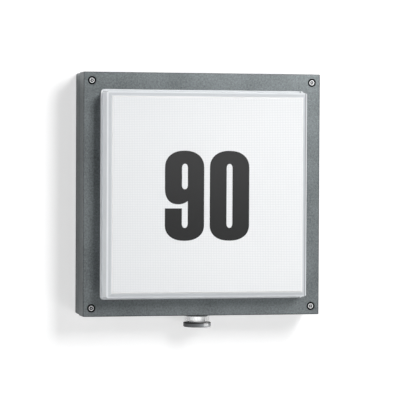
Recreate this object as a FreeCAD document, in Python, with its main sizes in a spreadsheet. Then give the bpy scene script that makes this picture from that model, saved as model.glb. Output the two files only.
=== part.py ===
"""Wall light with a house number: a cast tray on the wall, a cast frame with an opal diffuser
screwed over it, and a motion sensor with two setting dials underneath.

Millimetres. The origin is the middle of the tray's back, where the wall screws centre.
X points right, Z up, and the wall is the plane Y = 0, so the light stands out towards -Y.
A depth below is a distance from the wall, and so it is measured along -Y.
"""

import FreeCAD, Part
import math
import os
from types import SimpleNamespace

import Sketcher

Vector = FreeCAD.Vector

# Driving dimensions, each a length
SIZES = {
    # front frame
    "frame_size": 305,
    "skirt_depth": 27.2,
    "skirt_wall": 2.5,
    "frame_face": 4.0,
    "frame_edge": 1.0,
    "seam_gap": 1.6,
    "window_gap": 0.4,
    # rear housing
    "rear_inset": 0.5,
    "rear_depth": 27.2,
    "rear_floor": 3.0,
    "rear_corner": 2.5,
    "rear_edge": 1.2,
    "tray_gap": 0.6,
    "tray_wall": 2.4,
    "rib_place": 62,
    "rib_height": 5.0,
    "rib_thickness": 2.2,
    "land_half": 16,
    "land_edge": 16,
    "land_relief": 1.0,
    "land_pad_radius": 9.0,
    # wall fixing and cable entry
    "slot_inset_x": 42.5,
    "slot_inset_z": 72.5,
    "slot_length": 12,
    "slot_radius": 2.75,
    "entry_height": 45,
    "entry_radius": 10,
    "grommet_lip": 3.0,
    "grommet_lip_thickness": 1.5,
    "grommet_nose": 3.0,
    "grommet_skin": 3.0,
    "cable_radius": 4.0,
    # cover screws with their pillars, bosses and recesses
    "screw_inset": 10.7,
    "pillar_radius": 5.6,
    "boss_play": 0.2,
    "recess_radius": 5.3,
    "recess_floor": 0.8,
    "washer_play": 0.3,
    "washer_thickness": 1.0,
    "cover_head_radius": 3.7,
    "cover_head_gap": 0.1,
    "cover_shank_radius": 2.0,
    "cover_thread": 12.0,
    "hole_play": 0.05,
    "head_edge": 0.6,
    # seals
    "frame_seal_thickness": 2.2,
    "frame_seal_play": 0.1,
    "diffuser_seal_thickness": 1.5,
    "diffuser_seal_inset": 1.0,
    # clips that hold the diffuser's flange
    "clip_side_gap": 1.5,
    "clip_tail": 3.2,
    "clip_boss_radius": 3.0,
    "clip_boss_gap": 0.3,
    "clip_place": 70,
    "clip_length": 14,
    "clip_reach": 5.0,
    "clip_thickness": 1.5,
    "clip_head_radius": 2.8,
    "clip_head_height": 2.0,
    "clip_shank_radius": 1.5,
    "clip_cover": 2.5,
    # diffuser
    "flange_width": 8.0,
    "flange_thickness": 3.0,
    "flange_corner": 14.0,
    "diffuser_corner": 4.2,
    "diffuser_rise": 30.0,
    "diffuser_draft": 1.0,
    "diffuser_wall": 3.0,
    "ledge_height": 2.6,
    "ledge_width": 2.0,
    "ledge_edge": 0.6,
    "wall_corner": 3.0,
    "bevel_width": 6.5,
    "bevel_height": 3.0,
    "bevel_edge": 1.6,
    "face_lip": 1.1,
    "face_recess": 0.2,
    # driver
    "driver_margin": 10,
    "driver_end_gap": 5.5,
    "driver_width": 36,
    "driver_thickness": 22,
    "driver_corner": 2.0,
    "driver_ear": 11,
    "driver_ear_thickness": 3.0,
    "driver_seat": 9.0,
    "driver_post_radius": 4.0,
    "driver_head_radius": 3.0,
    "driver_head_height": 2.0,
    "driver_shank_radius": 1.5,
    "driver_thread": 7.0,
    # reflector tray
    "gear_clearance": 2.0,
    "gear_sheet": 1.2,
    "gear_mouth_gap": 1.5,
    "gear_mouth_inset": 10,
    "gear_flare": 11,
    "gear_post_inset": 15,
    "gear_post_radius": 4.5,
    "gear_head_radius": 3.5,
    "gear_head_height": 2.2,
    "gear_shank_radius": 2.0,
    "gear_thread": 9.0,
    "gear_wire_radius": 4.0,
    # light strips
    "strip_margin": 35,
    "strip_end_gap": 8.0,
    "strip_width": 12,
    "strip_thickness": 1.6,
    "diode_end": 14,
    "diode_size": 3.0,
    "diode_thickness": 0.7,
    "strip_head_radius": 2.5,
    "strip_head_height": 1.6,
    "strip_shank_radius": 1.25,
    "strip_thread": 4.0,
    # cable clamp, terminal block and earth point
    "clamp_gap": 6.5,
    "clamp_side_gap": 4.5,
    "clamp_post_radius": 3.5,
    "clamp_seat": 10,
    "clamp_width": 8.0,
    "clamp_thickness": 3.0,
    "clamp_head_radius": 2.6,
    "clamp_head_height": 1.8,
    "clamp_shank_radius": 1.5,
    "clamp_thread": 6.0,
    "terminal_gap": 13,
    "terminal_pitch": 11,
    "terminal_end": 1.5,
    "terminal_width": 20,
    "terminal_thickness": 14,
    "terminal_seat": 6.0,
    "terminal_screw_radius": 2.2,
    "terminal_screw_deep": 4.0,
    "terminal_screw_length": 3.0,
    "terminal_entry_radius": 1.7,
    "terminal_entry_deep": 7.0,
    "earth_gap": 22,
    "earth_boss_radius": 4.5,
    "earth_head_radius": 3.5,
    "earth_head_height": 2.4,
    "earth_shank_radius": 2.0,
    "earth_thread": 5.0,
    # internal wires
    "wire_radius": 1.0,
    "wire_bend": 5.0,
    "supply_gap": 22,
    "supply_pitch": 6.0,
    "supply_drop": 8.0,
    "lamp_wire_drop": 17,
    "lamp_wire_rise": 9.2,
    "link_bend": 2.4,
    "link_inset": 4.0,
    "link_step": 3.0,
    "link_rise": 5.2,
    "sensor_wire_gap": 10,
    "sensor_wire_offset": 3.4,
    "detector_wire_rise": 12,
    "detector_wire_inset": 2.8,
    # sensor
    "barrel_radius": 16,
    "barrel_wall": 2.4,
    "barrel_play": 0.2,
    "barrel_length": 9.5,
    "cap_step": 1.5,
    "cap_thickness": 6.0,
    "cap_edge": 1.6,
    "cap_groove": 1.5,
    "flange_step": 1.8,
    "body_flange_thickness": 2.0,
    "neck_wall": 3.3,
    "neck_play": 0.2,
    "neck_end": 2.0,
    "sensor_seal_thickness": 1.0,
    "sensor_seal_inset": 0.4,
    "nut_wall": 4.2,
    "nut_thickness": 5.0,
    "lens_seat": 1.8,
    "lens_skin": 1.0,
    "lens_gap": 0.3,
    "lens_groove": 0.3,
    "lens_groove_width": 1.0,
    "block_margin": 6.0,
    "block_gap": 3.8,
    "block_height": 13,
    "notch_gap": 0.4,
    "sensor_board_play": 0.2,
    "sensor_board_thickness": 1.6,
    "detector_height": 3.4,
    "detector_brim": 0.5,
    "light_detector_edge": 0.7,
    "light_detector_gap": 0.3,
    "light_detector_radius": 1.25,
    "light_detector_height": 2.4,
    # setting dials and their board
    "dial_spacing": 16,
    "dial_radius": 4.5,
    "dial_gap": 0.35,
    "dial_pocket": 3.0,
    "dial_proud": 0.4,
    "dial_lift": 0.3,
    "dial_edge": 0.4,
    "dial_slot_width": 1.2,
    "dial_slot_depth": 1.2,
    "dial_slot_end": 0.8,
    "dial_shaft_radius": 2.0,
    "dial_shaft_play": 0.06,
    "dial_shaft_end": 1.0,
    "dial_wall": 2.5,
    "dial_boss_height": 11,
    "dial_seal_width": 1.0,
    "dial_seal_height": 1.5,
    "setting_size": 9.5,
    "setting_thickness": 5.0,
    "setting_board_end": 6.0,
    "setting_board_reach": 8.4,
    "setting_board_gap": 2.2,
    "setting_board_thickness": 1.6,
    "setting_cut_gap": 1.2,
    "setting_post_step": 13,
    "setting_post_radius": 3.5,
    "setting_head_radius": 2.5,
    "setting_head_height": 1.8,
    "setting_shank_radius": 1.25,
    "setting_thread": 6.0,
    # how far a blind hole runs past the screw's tip
    "overrun": 1.0,
}
STRIPS = 4
DIODES = 9
POLES = 3
LENS_RINGS = 3
LENS_GROOVES = 4 * LENS_RINGS
NUT_SIDES = 6
NEAR_SHARE = 0.0001

doc = FreeCAD.newDocument("wall_light")
sheet = doc.addObject("Spreadsheet::Sheet", "sizes")
for row, (name, number) in enumerate(SIZES.items(), start=1):
    sheet.set(f"A{row}", name)
    sheet.set(f"B{row}", str(number))
    sheet.setAlias(f"B{row}", name)
doc.recompute()


class Size:
    """A number together with the sheet formula that gives it."""

    def __init__(self, formula, number):
        self.formula = formula
        self.number = float(number)

    def __add__(self, other):
        other = as_size(other)
        return Size(f"({self.formula} + {other.formula})", self.number + other.number)

    def __sub__(self, other):
        other = as_size(other)
        return Size(f"({self.formula} - {other.formula})", self.number - other.number)

    def __mul__(self, other):
        other = as_size(other)
        return Size(f"({self.formula} * {other.formula})", self.number * other.number)

    def __truediv__(self, other):
        other = as_size(other)
        return Size(f"({self.formula} / {other.formula})", self.number / other.number)

    def __neg__(self):
        return Size(f"(0 - {self.formula})", -self.number)

    __rmul__ = __mul__


def as_size(amount):
    return amount if isinstance(amount, Size) else Size(repr(float(amount)), amount)


def half(amount):
    return amount / 2


def slope_angle(aside, along):
    """The angle of a wall that moves aside by one size while it runs along by another."""
    ratio = aside / along
    return Size(f"atan({ratio.formula})", math.degrees(math.atan(ratio.number)))


def corners(across, up):
    """The four places at plus and minus across, plus and minus up."""
    return [(across, up), (-across, up), (-across, -up), (across, -up)]


def both_sides(across, other):
    return [(across, other), (-across, other)]


def centred(count, index):
    """How many pitches the copy at that index lies from the middle of its row."""
    return index - (count - 1) / 2


size = SimpleNamespace(**{name: Size(f"sizes.{name}", sheet.get(name)) for name in SIZES})
NEAR = size.frame_size.number * NEAR_SHARE
WALL = as_size(0)

# Levels and half widths that several pieces share, worked from the outside in
outer = half(size.frame_size)
skirt_foot = size.rear_depth + size.seam_gap
front = skirt_foot + size.skirt_depth
face_back = front - size.frame_face
rim_depth = face_back - size.frame_seal_thickness
recess_bottom = face_back + size.recess_floor
washer_top = recess_bottom + size.washer_thickness
clip_seat = face_back - size.diffuser_seal_thickness - size.flange_thickness
underside = outer - size.rear_inset
tray_outer = outer - size.skirt_wall - size.tray_gap
tray_inner = tray_outer - size.tray_wall
screw_place = outer - size.screw_inset
clip_line = tray_inner - size.clip_side_gap - size.clip_tail
flange_reach = clip_line - size.clip_boss_radius - size.clip_boss_gap
diffuser_half = flange_reach - size.flange_width
window_half = diffuser_half + size.window_gap

# The gear inside: driver, reflector tray and light strips
gear_depth = size.driver_seat + size.driver_thickness + size.gear_clearance
gear_mouth_depth = clip_seat - size.gear_mouth_gap
gear_mouth = diffuser_half - size.gear_mouth_inset
gear_floor = gear_mouth - size.gear_flare
gear_post = gear_floor - size.gear_post_inset
strip_back = gear_depth + size.gear_sheet
strip_front = strip_back + size.strip_thickness
strip_reach = gear_floor - size.strip_end_gap
strip_pitch = (gear_floor - size.strip_margin) * 2 / (STRIPS - 1)
strip_heights = [strip_pitch * -centred(STRIPS, i) for i in range(STRIPS)]
diode_pitch = (strip_reach - size.diode_end) * 2 / (DIODES - 1)
strip_screw = diode_pitch * centred(DIODES, DIODES - 1.5)
lamp_wire = diode_pitch * centred(DIODES, DIODES - 2.5)
lamp_wire_height = strip_heights[0] - size.lamp_wire_drop
driver_height = gear_floor - size.driver_margin
driver_low = driver_height - half(size.driver_width)
driver_half = gear_post - size.gear_post_radius - size.driver_end_gap - size.driver_ear
driver_post = driver_half + half(size.driver_ear)

# The mains side: clamp, terminal block and earth point, one below the other
clamp_place = size.cable_radius + size.clamp_side_gap + size.clamp_post_radius
clamp_height = (
    size.entry_height - size.entry_radius - size.grommet_lip - size.clamp_gap - size.clamp_post_radius
)
terminal_half = size.terminal_pitch * POLES / 2 + size.terminal_end
terminal_top = clamp_height - half(size.clamp_width) - size.terminal_gap
terminal_low = terminal_top - size.terminal_width
terminal_height = terminal_low + half(size.terminal_width)
wire_depth = size.terminal_seat + half(size.terminal_thickness) - size.terminal_entry_radius
earth_place = -terminal_half - size.earth_gap
earth_seat = wire_depth - half(size.earth_head_height)

# The sensor under the housing, and the setting dials beside it
sensor_depth = size.rear_depth + half(size.seam_gap)
block_front = rim_depth - size.block_gap
block_back = sensor_depth * 2 - block_front
block_half = size.barrel_radius + size.block_margin
block_top = size.block_height - underside
barrel_bore = size.barrel_radius - size.barrel_wall
body_flange = barrel_bore - size.barrel_play
neck_radius = barrel_bore - size.flange_step
neck_bore = neck_radius - size.neck_wall
neck_top = block_top + size.nut_thickness + size.neck_end
nut_radius = neck_radius + size.nut_wall
lens_radius = neck_bore + size.lens_seat
seal_bottom = -underside - size.sensor_seal_thickness
flange_bottom = seal_bottom - size.body_flange_thickness
cap_radius = size.barrel_radius + size.cap_step
cap_top = seal_bottom - size.barrel_length
cap_bottom = cap_top - size.cap_thickness
groove_floor = cap_top - size.cap_groove
board_radius = neck_bore - size.sensor_board_play
board_low = flange_bottom + size.detector_height
light_detector_place = board_radius - size.light_detector_edge - size.light_detector_radius
detector_radius = (
    light_detector_place - size.light_detector_radius - size.light_detector_gap - size.detector_brim
)
dial_place = block_half + size.dial_spacing
dial_depth = half(size.rear_depth)
dial_boss_radius = size.dial_radius + size.dial_wall
dial_boss_top = size.dial_boss_height - underside
dial_pocket_top = size.dial_pocket - underside
dial_hole = size.dial_shaft_radius + size.dial_shaft_play
dial_seal_radius = size.dial_shaft_radius + size.dial_seal_width
setting_board_under = dial_boss_top + size.setting_thickness
setting_board_top = setting_board_under + size.setting_board_thickness
setting_board_back = size.rear_floor + size.setting_board_gap
setting_post = dial_place + size.setting_post_step

# Places of what repeats, as X and Z, or as X and Y for what stands on the underside
screw_places = corners(screw_place, screw_place)
slot_places = corners(outer - size.slot_inset_x, outer - size.slot_inset_z)
gear_post_places = corners(gear_post, gear_post)
driver_post_places = both_sides(driver_post, driver_height)
clamp_places = both_sides(clamp_place, clamp_height)
earth_places = [(earth_place, terminal_height)]
entry_places = [(0, size.entry_height)]
sensor_places = [(0, -sensor_depth)]
dial_places = both_sides(dial_place, -dial_depth)
setting_post_places = both_sides(setting_post, -dial_depth)
pole_places = [(size.terminal_pitch * centred(POLES, i), terminal_height) for i in range(POLES)]
clip_places = [
    place
    for side in (clip_line, -clip_line)
    for along in (size.clip_place, -size.clip_place)
    for place in ((along, side), (side, along))
]
strip_screw_places = [place for height in strip_heights for place in both_sides(strip_screw, height)]


# Sketches, whose every point is tied to the sheet
def body(label):
    made = doc.addObject("PartDesign::Body", label)
    made.Label = label
    return made


def sketch(owner, role, lift=None, shift=None):
    """A sketch on an origin plane of its body, lifted along the plane's normal.

    On XZ_Plane the sketch's x and y are X and Z, and a lift is a depth from the wall.
    """
    made = owner.newObject("Sketcher::SketchObject", f"{owner.Label}_sketch")
    plane = next(feature for feature in owner.Origin.OriginFeatures if feature.Role == role)
    made.AttachmentSupport = [(plane, "")]
    made.MapMode = "FlatFace"
    if lift is not None:
        made.setExpression("AttachmentOffset.Base.z", lift.formula)
    if shift is not None:
        made.setExpression("AttachmentOffset.Base.x", shift.formula)
    return made


def pin_point(drawn, line, end, x, y):
    """Ties one point of a sketch to its two distances from the sketch's origin."""
    for kind, axis, amount in (("DistanceX", -2, x), ("DistanceY", -1, y)):
        if not isinstance(amount, Size):
            drawn.addConstraint(Sketcher.Constraint("PointOnObject", line, end, axis))
            continue
        rule = drawn.addConstraint(Sketcher.Constraint(kind, -1, 1, line, end, amount.number))
        drawn.setExpression(f"Constraints[{rule}]", amount.formula)


def outline(drawn, points):
    """A closed outline with straight sides."""
    first = drawn.GeometryCount
    count = len(points)
    spots = [Vector(as_size(x).number, as_size(y).number, 0) for x, y in points]
    for i in range(count):
        drawn.addGeometry(Part.LineSegment(spots[i], spots[(i + 1) % count]))
    for i, (x, y) in enumerate(points):
        drawn.addConstraint(Sketcher.Constraint("Coincident", first + i, 2, first + (i + 1) % count, 1))
        pin_point(drawn, first + i, 1, x, y)


def rectangle(drawn, left, right, low, high):
    outline(drawn, [(left, low), (right, low), (right, high), (left, high)])


def square(drawn, reach):
    rectangle(drawn, -reach, reach, -reach, reach)


def circles(drawn, places, radius):
    for x, y in places:
        centre = Vector(as_size(x).number, as_size(y).number, 0)
        line = drawn.addGeometry(Part.Circle(centre, Vector(0, 0, 1), radius.number))
        pin_point(drawn, line, 3, x, y)
        rule = drawn.addConstraint(Sketcher.Constraint("Radius", line, radius.number))
        drawn.setExpression(f"Constraints[{rule}]", radius.formula)


# Features
def pad(owner, drawn, length, lean=None, backwards=False):
    made = owner.newObject("PartDesign::Pad", f"{owner.Label}_pad")
    made.Profile = drawn
    made.Reversed = backwards
    made.setExpression("Length", length.formula)
    if lean is not None:
        made.setExpression("TaperAngle", lean.formula)
    doc.recompute()
    return made


def pocket(owner, drawn, length, lean=None, backwards=False):
    """Cuts against the sketch's normal, or along it if backwards, and stops if it cuts nothing."""
    before = owner.Shape.Volume
    made = owner.newObject("PartDesign::Pocket", f"{owner.Label}_pocket")
    made.Profile = drawn
    made.Reversed = backwards
    made.setExpression("Length", length.formula)
    if lean is not None:
        made.setExpression("TaperAngle", lean.formula)
    doc.recompute()
    if made.Shape.Volume >= before:
        raise RuntimeError(f"{owner.Label}: a pocket cuts nothing")
    return made


def spin(owner, drawn):
    """A full turn of the sketch about its own vertical axis."""
    made = owner.newObject("PartDesign::Revolution", f"{owner.Label}_turned")
    made.Profile = drawn
    made.ReferenceAxis = (drawn, ["V_Axis"])
    doc.recompute()
    return made


def edge_feature(owner, kind, amount, wanted):
    """A Fillet or Chamfer on the edges of the body that pass the test wanted(edge)."""
    base = owner.Tip
    names = [f"Edge{i}" for i, edge in enumerate(base.Shape.Edges, start=1) if wanted(edge)]
    if not names:
        raise RuntimeError(f"{owner.Label}: no edge to round")
    made = owner.newObject(f"PartDesign::{kind}", f"{owner.Label}_{kind.lower()}")
    made.Base = (base, names)
    made.setExpression("Radius" if kind == "Fillet" else "Size", amount.formula)
    doc.recompute()
    return made


def same(one, other):
    return abs(one - other) < NEAR


def at_corner(reach, low, high, far_reach=None):
    """Edges at a square's four corners that run from one depth to another.

    The square's half width is reach at the low depth, and far_reach at the high one.
    """
    far_reach = far_reach or reach

    def wanted(edge):
        ends = sorted((vertex.Point for vertex in edge.Vertexes), key=lambda point: -point.y)
        return len(ends) == 2 and all(
            same(-point.y, depth.number)
            and same(abs(point.x), half_width.number)
            and same(abs(point.z), half_width.number)
            for point, depth, half_width in zip(ends, (low, high), (reach, far_reach))
        )

    return wanted


def around(reach, depth):
    """Edges that go round a square of that half width at one depth."""

    def wanted(edge):
        box = edge.BoundBox
        furthest = max(abs(box.XMin), abs(box.XMax), abs(box.ZMin), abs(box.ZMax))
        return (
            same(box.YMin, -depth.number)
            and same(box.YMax, -depth.number)
            and same(furthest, reach.number)
        )

    return wanted


def rim_of(level, axis, radius):
    """Circular edges of one radius that lie at one level along an axis."""

    def wanted(edge):
        box = edge.BoundBox
        low = getattr(box, f"{axis}Min")
        high = getattr(box, f"{axis}Max")
        circular = isinstance(edge.Curve, Part.Circle) and same(edge.Curve.Radius, radius.number)
        return circular and same(low, level.number) and same(high, level.number)

    return wanted


def turned(label, points, depth=sensor_depth, shift=None):
    """A body turned about an upright axis, from a half section of radii and heights."""
    made = body(label)
    drawn = sketch(made, "XZ_Plane", depth, shift)
    outline(drawn, points)
    spin(made, drawn)
    return made


def screws(label, places, seat, head, shank, inwards=False):
    """Screws as separate solids, whose heads stand on the seat and face away from the wall.

    head and shank are a radius and a length, and inwards turns the heads towards the wall.
    """
    made = body(label)
    drawn = sketch(made, "XZ_Plane", seat)
    circles(drawn, places, head[0])
    pad(made, drawn, head[1], backwards=inwards)
    drawn = sketch(made, "XZ_Plane", seat)
    circles(drawn, places, shank[0])
    pad(made, drawn, shank[1], backwards=not inwards)
    top = seat - head[1] if inwards else seat + head[1]
    edge_feature(made, "Chamfer", size.head_edge, rim_of(-top, "Y", head[0]))
    return made


def square_ring(label, reach, inner, depth, thickness):
    made = body(label)
    drawn = sketch(made, "XZ_Plane", depth)
    square(drawn, reach)
    square(drawn, inner)
    pad(made, drawn, thickness)
    return made


def make_rear_housing():
    """The cast tray: a box with a raised rim, its posts and ribs, and the sensor's block."""
    made = body("rear_housing")
    drawn = sketch(made, "XZ_Plane")
    square(drawn, underside)
    pad(made, drawn, size.rear_depth)
    edge_feature(made, "Fillet", size.rear_corner, at_corner(underside, WALL, size.rear_depth))
    edge_feature(made, "Fillet", size.rear_edge, around(underside, WALL))
    drawn = sketch(made, "XZ_Plane", size.rear_floor)
    square(drawn, tray_outer)
    pad(made, drawn, rim_depth - size.rear_floor)
    drawn = sketch(made, "XZ_Plane", rim_depth)
    square(drawn, tray_inner)
    pocket(made, drawn, rim_depth - size.rear_floor)

    def stand(places, radius, top):
        posts = sketch(made, "XZ_Plane", half(size.rear_floor))
        circles(posts, places, radius)
        pad(made, posts, top - half(size.rear_floor))

    stand(screw_places, size.pillar_radius, rim_depth)
    stand(gear_post_places, size.gear_post_radius, gear_depth)
    stand(driver_post_places, size.driver_post_radius, size.driver_seat)
    stand(clamp_places, size.clamp_post_radius, size.clamp_seat)
    stand(earth_places, size.earth_boss_radius, earth_seat)
    drawn = sketch(made, "XZ_Plane", half(size.rear_floor))
    rectangle(drawn, -terminal_half, terminal_half, terminal_low, terminal_top)
    pad(made, drawn, size.terminal_seat - half(size.rear_floor))
    for upright in (True, False):
        drawn = sketch(made, "XZ_Plane", half(size.rear_floor))
        for middle in (size.rib_place, -size.rib_place):
            near = middle - half(size.rib_thickness)
            far = middle + half(size.rib_thickness)
            if upright:
                rectangle(drawn, near, far, -tray_inner, tray_inner)
            else:
                rectangle(drawn, -tray_inner, tray_inner, near, far)
        pad(made, drawn, half(size.rear_floor) + size.rib_height)

    drawn = sketch(made, "XY_Plane", -underside)
    rectangle(drawn, -block_half, block_half, -block_front, -block_back)
    pad(made, drawn, size.block_height)
    drawn = sketch(made, "XY_Plane", -underside)
    circles(drawn, dial_places, dial_boss_radius)
    pad(made, drawn, size.dial_boss_height)
    drawn = sketch(made, "XY_Plane", -underside)
    circles(drawn, setting_post_places, size.setting_post_radius)
    pad(made, drawn, setting_board_under + underside)

    drawn = sketch(made, "XY_Plane", -underside)
    circles(drawn, sensor_places, neck_radius + size.neck_play)
    pocket(made, drawn, size.block_height, backwards=True)
    for radius, length in (
        (size.dial_radius + size.dial_gap, size.dial_pocket),
        (dial_seal_radius, size.dial_pocket + size.dial_seal_height),
        (dial_hole, size.dial_boss_height),
    ):
        drawn = sketch(made, "XY_Plane", -underside)
        circles(drawn, dial_places, radius)
        pocket(made, drawn, length, backwards=True)
    drawn = sketch(made, "XY_Plane", setting_board_under)
    circles(drawn, setting_post_places, size.setting_shank_radius + size.hole_play)
    pocket(made, drawn, size.setting_thread)

    def drill(places, top, radius, length):
        holes = sketch(made, "XZ_Plane", top)
        circles(holes, places, radius + size.hole_play)
        pocket(made, holes, length)

    drill(screw_places, rim_depth, size.cover_shank_radius, size.cover_thread + size.overrun)
    drill(gear_post_places, gear_depth, size.gear_shank_radius, size.gear_thread)
    driver_bite = size.driver_thread - size.driver_ear_thickness
    drill(driver_post_places, size.driver_seat, size.driver_shank_radius, driver_bite)
    drill(clamp_places, size.clamp_seat, size.clamp_shank_radius, size.clamp_thread)
    drill(earth_places, earth_seat, size.earth_shank_radius, size.earth_thread)

    far = underside - size.land_edge
    drawn = sketch(made, "XZ_Plane")
    for left, right in ((size.land_half, far), (-far, -size.land_half)):
        for low, high in ((size.land_half, far), (-far, -size.land_half)):
            rectangle(drawn, left, right, low, high)
    circles(drawn, slot_places, size.land_pad_radius)
    pocket(made, drawn, size.land_relief, backwards=True)
    slot_reach = half(size.slot_length) - size.slot_radius
    through = size.rear_floor + size.rib_height
    drawn = sketch(made, "XZ_Plane")
    for x, z in slot_places:
        rectangle(drawn, x - slot_reach, x + slot_reach, z - size.slot_radius, z + size.slot_radius)
    pocket(made, drawn, through, backwards=True)
    for reach in (slot_reach, -slot_reach):
        drawn = sketch(made, "XZ_Plane")
        circles(drawn, [(x + reach, z) for x, z in slot_places], size.slot_radius)
        pocket(made, drawn, through, backwards=True)
    drawn = sketch(made, "XZ_Plane")
    circles(drawn, entry_places, size.entry_radius)
    pocket(made, drawn, through, backwards=True)
    return made


def make_front_frame():
    """The cast frame: a skirt round a flat face with a window, and bosses for screws behind it."""
    made = body("front_frame")
    drawn = sketch(made, "XZ_Plane", skirt_foot)
    square(drawn, outer)
    pad(made, drawn, size.skirt_depth)
    edge_feature(made, "Fillet", size.frame_edge, at_corner(outer, skirt_foot, front))
    edge_feature(made, "Fillet", size.frame_edge, around(outer, front))
    drawn = sketch(made, "XZ_Plane", skirt_foot)
    square(drawn, outer - size.skirt_wall)
    pocket(made, drawn, size.skirt_depth - size.frame_face, backwards=True)
    drawn = sketch(made, "XZ_Plane", front)
    square(drawn, window_half)
    pocket(made, drawn, size.frame_face)
    window_corner = size.diffuser_corner + size.window_gap
    edge_feature(made, "Fillet", window_corner, at_corner(window_half, face_back, front))
    drawn = sketch(made, "XZ_Plane", rim_depth)
    circles(drawn, screw_places, tray_inner - screw_place - size.boss_play)
    pad(made, drawn, size.frame_seal_thickness)
    drawn = sketch(made, "XZ_Plane", clip_seat)
    circles(drawn, clip_places, size.clip_boss_radius)
    pad(made, drawn, face_back - clip_seat)
    drawn = sketch(made, "XZ_Plane", front)
    circles(drawn, screw_places, size.recess_radius)
    pocket(made, drawn, front - recess_bottom)
    drawn = sketch(made, "XZ_Plane", front)
    circles(drawn, screw_places, size.cover_shank_radius + size.hole_play)
    pocket(made, drawn, front - rim_depth)
    drawn = sketch(made, "XZ_Plane", clip_seat)
    circles(drawn, clip_places, size.clip_shank_radius + size.hole_play)
    pocket(made, drawn, front - size.clip_cover - clip_seat, backwards=True)
    notch_half = block_half + size.notch_gap
    drawn = sketch(made, "XY_Plane", -outer)
    rectangle(drawn, -notch_half, notch_half, -block_front - size.notch_gap, -size.rear_depth)
    pocket(made, drawn, size.skirt_wall, backwards=True)
    return made


def make_diffuser():
    """The opal moulding: flange, neck with a ledge, walls that lean in, a bevel and a sunken field."""
    made = body("diffuser")
    flange_top = clip_seat + size.flange_thickness
    ledge_top = front + size.ledge_height
    face_top = front + size.diffuser_rise
    bevel_foot = face_top - size.bevel_height
    wall_base = diffuser_half - size.ledge_width
    wall_top = wall_base - size.diffuser_draft
    face_reach = wall_top - size.bevel_width
    wall_lean = slope_angle(-size.diffuser_draft, bevel_foot - ledge_top)
    bevel_lean = slope_angle(-size.bevel_width, size.bevel_height)
    drawn = sketch(made, "XZ_Plane", clip_seat)
    square(drawn, flange_reach)
    pad(made, drawn, size.flange_thickness)
    edge_feature(made, "Fillet", size.flange_corner, at_corner(flange_reach, clip_seat, flange_top))
    drawn = sketch(made, "XZ_Plane", clip_seat)
    square(drawn, diffuser_half)
    pad(made, drawn, ledge_top - clip_seat)
    edge_feature(made, "Fillet", size.diffuser_corner, at_corner(diffuser_half, flange_top, ledge_top))
    edge_feature(made, "Fillet", size.ledge_edge, around(diffuser_half, ledge_top))
    drawn = sketch(made, "XZ_Plane", ledge_top)
    square(drawn, wall_base)
    pad(made, drawn, bevel_foot - ledge_top, wall_lean)
    drawn = sketch(made, "XZ_Plane", bevel_foot)
    square(drawn, wall_top)
    pad(made, drawn, size.bevel_height, bevel_lean)
    wall_corners = at_corner(wall_base, ledge_top, bevel_foot, wall_top)
    bevel_corners = at_corner(wall_top, bevel_foot, face_top, face_reach)
    edge_feature(made, "Fillet", size.wall_corner, lambda edge: wall_corners(edge) or bevel_corners(edge))
    edge_feature(made, "Fillet", size.bevel_edge, around(wall_top, bevel_foot))
    drawn = sketch(made, "XZ_Plane", face_top)
    square(drawn, face_reach - size.face_lip)
    pocket(made, drawn, size.face_recess)
    drawn = sketch(made, "XZ_Plane", clip_seat)
    square(drawn, wall_base - size.diffuser_wall)
    hollow = bevel_foot - size.bevel_edge - clip_seat
    pocket(made, drawn, hollow, wall_lean, backwards=True)
    return made


def make_clips():
    """Flat clips over the diffuser's flange, one solid for each boss."""
    made = body("diffuser_clips")
    drawn = sketch(made, "XZ_Plane", clip_seat - size.clip_thickness)
    for side in (1, -1):
        inner = (flange_reach - size.clip_reach) * side
        tail = (clip_line + size.clip_tail) * side
        for middle in (size.clip_place, -size.clip_place):
            low = middle - half(size.clip_length)
            high = middle + half(size.clip_length)
            rectangle(drawn, low, high, inner, tail)
            rectangle(drawn, inner, tail, low, high)
    circles(drawn, clip_places, size.clip_shank_radius + size.hole_play)
    pad(made, drawn, size.clip_thickness)
    return made


def make_gear_tray():
    """The white reflector: a sheet pan with leaning sides, on the four tall posts."""
    made = body("gear_tray")
    rise = gear_mouth_depth - gear_depth
    slope = size.gear_flare / rise
    lean = slope_angle(size.gear_flare, rise)
    stretch = Size(f"sqrt(1 + {slope.formula} ^ 2)", math.hypot(1, slope.number))
    drawn = sketch(made, "XZ_Plane", gear_depth)
    square(drawn, gear_floor)
    pad(made, drawn, rise, lean)
    drawn = sketch(made, "XZ_Plane", strip_back)
    square(drawn, gear_floor + size.gear_sheet * (slope - stretch))
    pocket(made, drawn, rise - size.gear_sheet, lean, backwards=True)
    drawn = sketch(made, "XZ_Plane", gear_depth)
    circles(drawn, gear_post_places, size.gear_shank_radius + size.hole_play)
    circles(drawn, strip_screw_places, size.strip_shank_radius + size.hole_play)
    circles(drawn, [(lamp_wire, lamp_wire_height)], size.gear_wire_radius)
    pocket(made, drawn, size.gear_sheet, backwards=True)
    return made


def make_strips():
    """The light strips, each with its own row of diodes."""
    for number, height in enumerate(strip_heights, start=1):
        board = body(f"led_board_{number}")
        drawn = sketch(board, "XZ_Plane", strip_back)
        low = height - half(size.strip_width)
        high = height + half(size.strip_width)
        rectangle(drawn, -strip_reach, strip_reach, low, high)
        circles(drawn, both_sides(strip_screw, height), size.strip_shank_radius + size.hole_play)
        pad(board, drawn, size.strip_thickness)
        row = body(f"leds_{number}")
        drawn = sketch(row, "XZ_Plane", strip_front)
        reach = half(size.diode_size)
        for i in range(DIODES):
            middle = diode_pitch * centred(DIODES, i)
            rectangle(drawn, middle - reach, middle + reach, height - reach, height + reach)
        pad(row, drawn, size.diode_thickness)


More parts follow.
